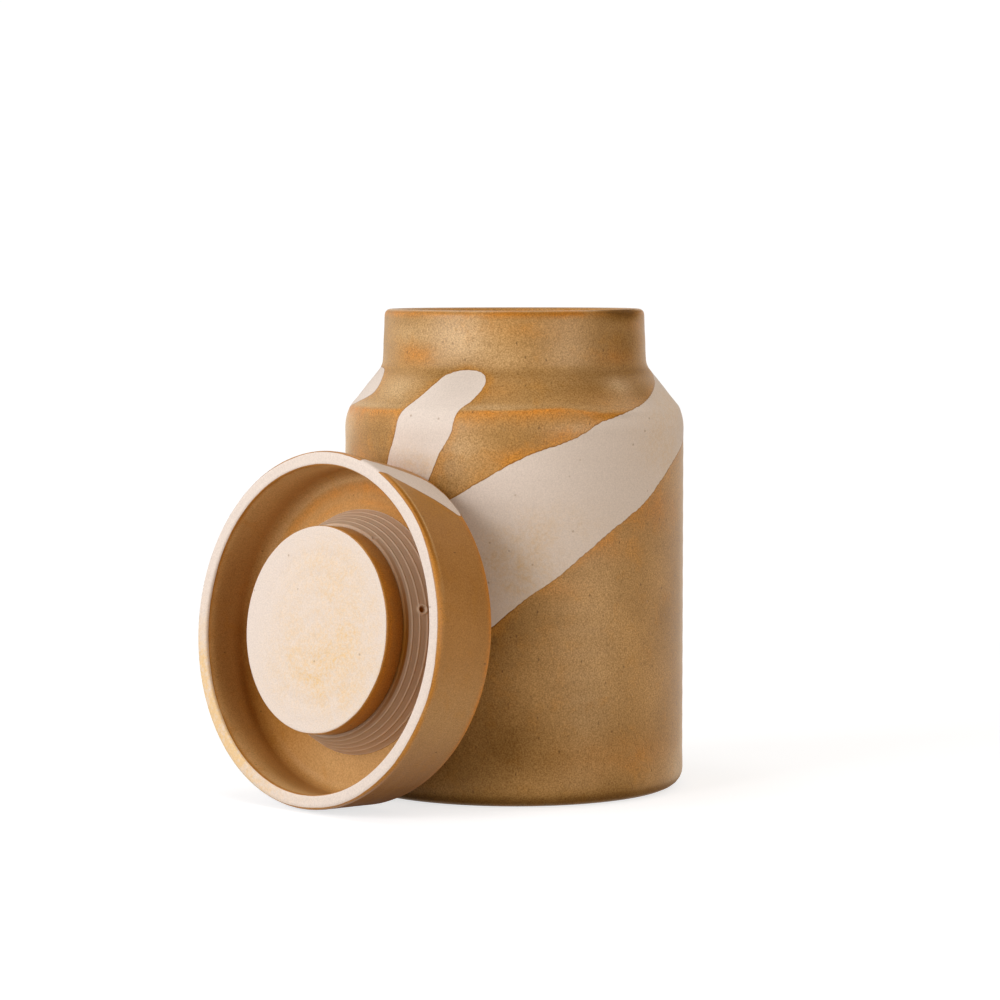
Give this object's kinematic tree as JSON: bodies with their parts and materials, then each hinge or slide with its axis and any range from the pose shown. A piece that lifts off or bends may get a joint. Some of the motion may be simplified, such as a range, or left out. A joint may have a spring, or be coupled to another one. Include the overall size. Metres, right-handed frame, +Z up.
{
  "type": "storage jar",
  "caption": "Stoneware storage jar with a short neck and wide mouth, shown open, its plug lid with a ribbed seal leaning on the jar's wall.",
  "frame": {"origin": "centre of the jar's foot, on the surface that it stands on", "axes": "+Z up along the jar's axis, out of its mouth; -Y towards the viewer; the lid leans between -X and -Y"},
  "size_m": [0.1637, 0.1583, 0.162],
  "materials": {
    "jar_glaze": "satin",
    "lid_glaze": "satin",
    "seal_rubber": "satin"
  },
  "bodies": {
    "root": {"jar": "jar_glaze", "lid": "lid_glaze", "seal_ring": "seal_rubber"}
  },
  "joints": []
}
